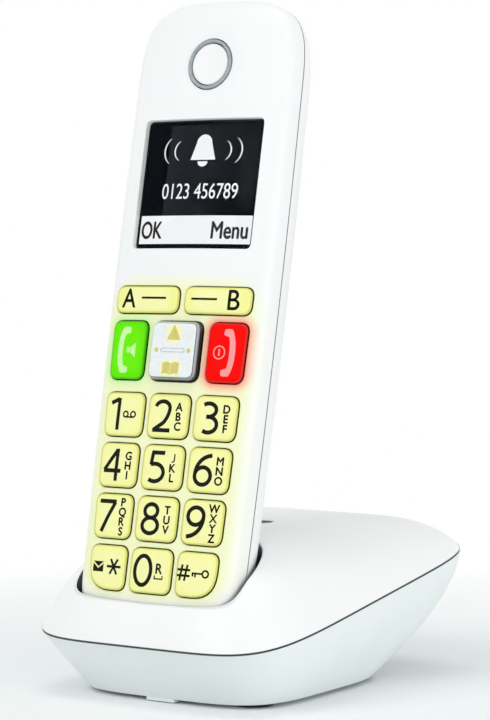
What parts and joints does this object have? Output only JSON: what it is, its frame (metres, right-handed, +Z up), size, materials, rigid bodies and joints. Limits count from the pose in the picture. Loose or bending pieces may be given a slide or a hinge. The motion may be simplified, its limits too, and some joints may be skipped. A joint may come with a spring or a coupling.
{
  "type": "cordless phone with charging base",
  "caption": "Cordless phone: a slim handset with big backlit keys and a display stands leaning in the cradle well of a low, flared two-shell charging base.",
  "frame": {"origin": "on the surface that the base stands on, under the middle of the base", "axes": "+Z up along the handset, -Y to the front that the keypad faces, +X to the right seen from the front"},
  "size_m": [0.0924, 0.1068, 0.1905],
  "materials": {
    "white_shell": "satin",
    "key_cream": "satin",
    "key_green": "satin",
    "key_red": "satin",
    "key_silver": "satin",
    "lens": "gloss",
    "display": "gloss",
    "black_plastic": "matte",
    "paging_grey": "satin",
    "ring_grey": "satin",
    "silicone": "matte",
    "circuit_board": "matte",
    "gold_plate": "satin",
    "steel": "brushed",
    "cell_wrap": "satin",
    "foot_rubber": "matte"
  },
  "bodies": {
    "base": {"base_top_shell": "white_shell", "base_bottom_shell": "white_shell", "base_board": "circuit_board", "paging_switch": "black_plastic", "base_antenna": "gold_plate", "line_socket": "black_plastic", "power_socket": "black_plastic", "foot_front_left": "foot_rubber", "foot_front_right": "foot_rubber", "foot_rear_left": "foot_rubber", "foot_rear_right": "foot_rubber", "base_screw_left": "steel", "base_screw_right": "steel"},
    "handset": {"handset_front_shell": "white_shell", "handset_rear_shell": "white_shell", "display_lens": "lens", "display_module": "display", "display_frame": "black_plastic", "earpiece_ring": "ring_grey", "earpiece_cap": "white_shell", "earpiece_speaker": "black_plastic", "keypad_mat": "silicone", "handset_board": "circuit_board", "microphone": "steel", "ringer_speaker": "black_plastic", "handset_antenna": "gold_plate", "battery_plate": "steel", "battery_cell_left": "cell_wrap", "battery_cell_right": "cell_wrap", "battery_spring_left": "steel", "battery_spring_right": "steel", "handset_contact_left": "steel", "handset_contact_right": "steel", "handset_screw_left": "steel", "handset_screw_right": "steel"},
    "battery_cover": {"battery_cover": "white_shell"},
    "key_soft_left": {"key_soft_left": "key_cream"},
    "key_soft_right": {"key_soft_right": "key_cream"},
    "key_talk": {"key_talk": "key_green"},
    "key_end": {"key_end": "key_red"},
    "key_navigation": {"key_navigation": "key_silver"},
    "key_1": {"key_1": "key_cream"},
    "key_2": {"key_2": "key_cream"},
    "key_3": {"key_3": "key_cream"},
    "key_4": {"key_4": "key_cream"},
    "key_5": {"key_5": "key_cream"},
    "key_6": {"key_6": "key_cream"},
    "key_7": {"key_7": "key_cream"},
    "key_8": {"key_8": "key_cream"},
    "key_9": {"key_9": "key_cream"},
    "key_0": {"key_0": "key_cream"},
    "key_star": {"key_star": "key_cream"},
    "key_hash": {"key_hash": "key_cream"},
    "paging_key": {"paging_key": "paging_grey"},
    "charge_pin_left": {"charge_pin_left": "steel"},
    "charge_pin_right": {"charge_pin_right": "steel"}
  },
  "joints": [
    {"name": "handset_lift", "type": "slide", "parent": "base", "child": "handset", "axis": [0, 0.1997, 0.9799], "range_m": [0, 0.06]},
    {"name": "battery_cover_off", "type": "slide", "parent": "handset", "child": "battery_cover", "axis": [0, 0.9799, -0.1997], "range_m": [0, 0.008]},
    {"name": "key_soft_left_press", "type": "slide", "parent": "handset", "child": "key_soft_left", "axis": [0, 0.9799, -0.1997], "range_m": [0, 0.0006], "stiffness_N_per_m": 1500},
    {"name": "key_soft_right_press", "type": "slide", "parent": "handset", "child": "key_soft_right", "axis": [0, 0.9799, -0.1997], "range_m": [0, 0.0006], "stiffness_N_per_m": 1500},
    {"name": "key_talk_press", "type": "slide", "parent": "handset", "child": "key_talk", "axis": [0, 0.9799, -0.1997], "range_m": [0, 0.0006], "stiffness_N_per_m": 1500},
    {"name": "key_end_press", "type": "slide", "parent": "handset", "child": "key_end", "axis": [0, 0.9799, -0.1997], "range_m": [0, 0.0006], "stiffness_N_per_m": 1500},
    {"name": "key_navigation_press", "type": "slide", "parent": "handset", "child": "key_navigation", "axis": [0, 0.9799, -0.1997], "range_m": [0, 0.0006], "stiffness_N_per_m": 1500},
    {"name": "key_1_press", "type": "slide", "parent": "handset", "child": "key_1", "axis": [0, 0.9799, -0.1997], "range_m": [0, 0.0006], "stiffness_N_per_m": 1500},
    {"name": "key_2_press", "type": "slide", "parent": "handset", "child": "key_2", "axis": [0, 0.9799, -0.1997], "range_m": [0, 0.0006], "stiffness_N_per_m": 1500},
    {"name": "key_3_press", "type": "slide", "parent": "handset", "child": "key_3", "axis": [0, 0.9799, -0.1997], "range_m": [0, 0.0006], "stiffness_N_per_m": 1500},
    {"name": "key_4_press", "type": "slide", "parent": "handset", "child": "key_4", "axis": [0, 0.9799, -0.1997], "range_m": [0, 0.0006], "stiffness_N_per_m": 1500},
    {"name": "key_5_press", "type": "slide", "parent": "handset", "child": "key_5", "axis": [0, 0.9799, -0.1997], "range_m": [0, 0.0006], "stiffness_N_per_m": 1500},
    {"name": "key_6_press", "type": "slide", "parent": "handset", "child": "key_6", "axis": [0, 0.9799, -0.1997], "range_m": [0, 0.0006], "stiffness_N_per_m": 1500},
    {"name": "key_7_press", "type": "slide", "parent": "handset", "child": "key_7", "axis": [0, 0.9799, -0.1997], "range_m": [0, 0.0006], "stiffness_N_per_m": 1500},
    {"name": "key_8_press", "type": "slide", "parent": "handset", "child": "key_8", "axis": [0, 0.9799, -0.1997], "range_m": [0, 0.0006], "stiffness_N_per_m": 1500},
    {"name": "key_9_press", "type": "slide", "parent": "handset", "child": "key_9", "axis": [0, 0.9799, -0.1997], "range_m": [0, 0.0006], "stiffness_N_per_m": 1500},
    {"name": "key_0_press", "type": "slide", "parent": "handset", "child": "key_0", "axis": [0, 0.9799, -0.1997], "range_m": [0, 0.0006], "stiffness_N_per_m": 1500},
    {"name": "key_star_press", "type": "slide", "parent": "handset", "child": "key_star", "axis": [0, 0.9799, -0.1997], "range_m": [0, 0.0006], "stiffness_N_per_m": 1500},
    {"name": "key_hash_press", "type": "slide", "parent": "handset", "child": "key_hash", "axis": [0, 0.9799, -0.1997], "range_m": [0, 0.0006], "stiffness_N_per_m": 1500},
    {"name": "paging_key_press", "type": "slide", "parent": "base", "child": "paging_key", "axis": [0, 0, -1], "range_m": [0, 0.0006], "stiffness_N_per_m": 1500},
    {"name": "charge_pin_left_spring", "type": "slide", "parent": "base", "child": "charge_pin_left", "axis": [0, 0.1997, 0.9799], "range_m": [-0.0015, 0], "stiffness_N_per_m": 600},
    {"name": "charge_pin_right_spring", "type": "slide", "parent": "base", "child": "charge_pin_right", "axis": [0, 0.1997, 0.9799], "range_m": [-0.0015, 0], "stiffness_N_per_m": 600}
  ]
}
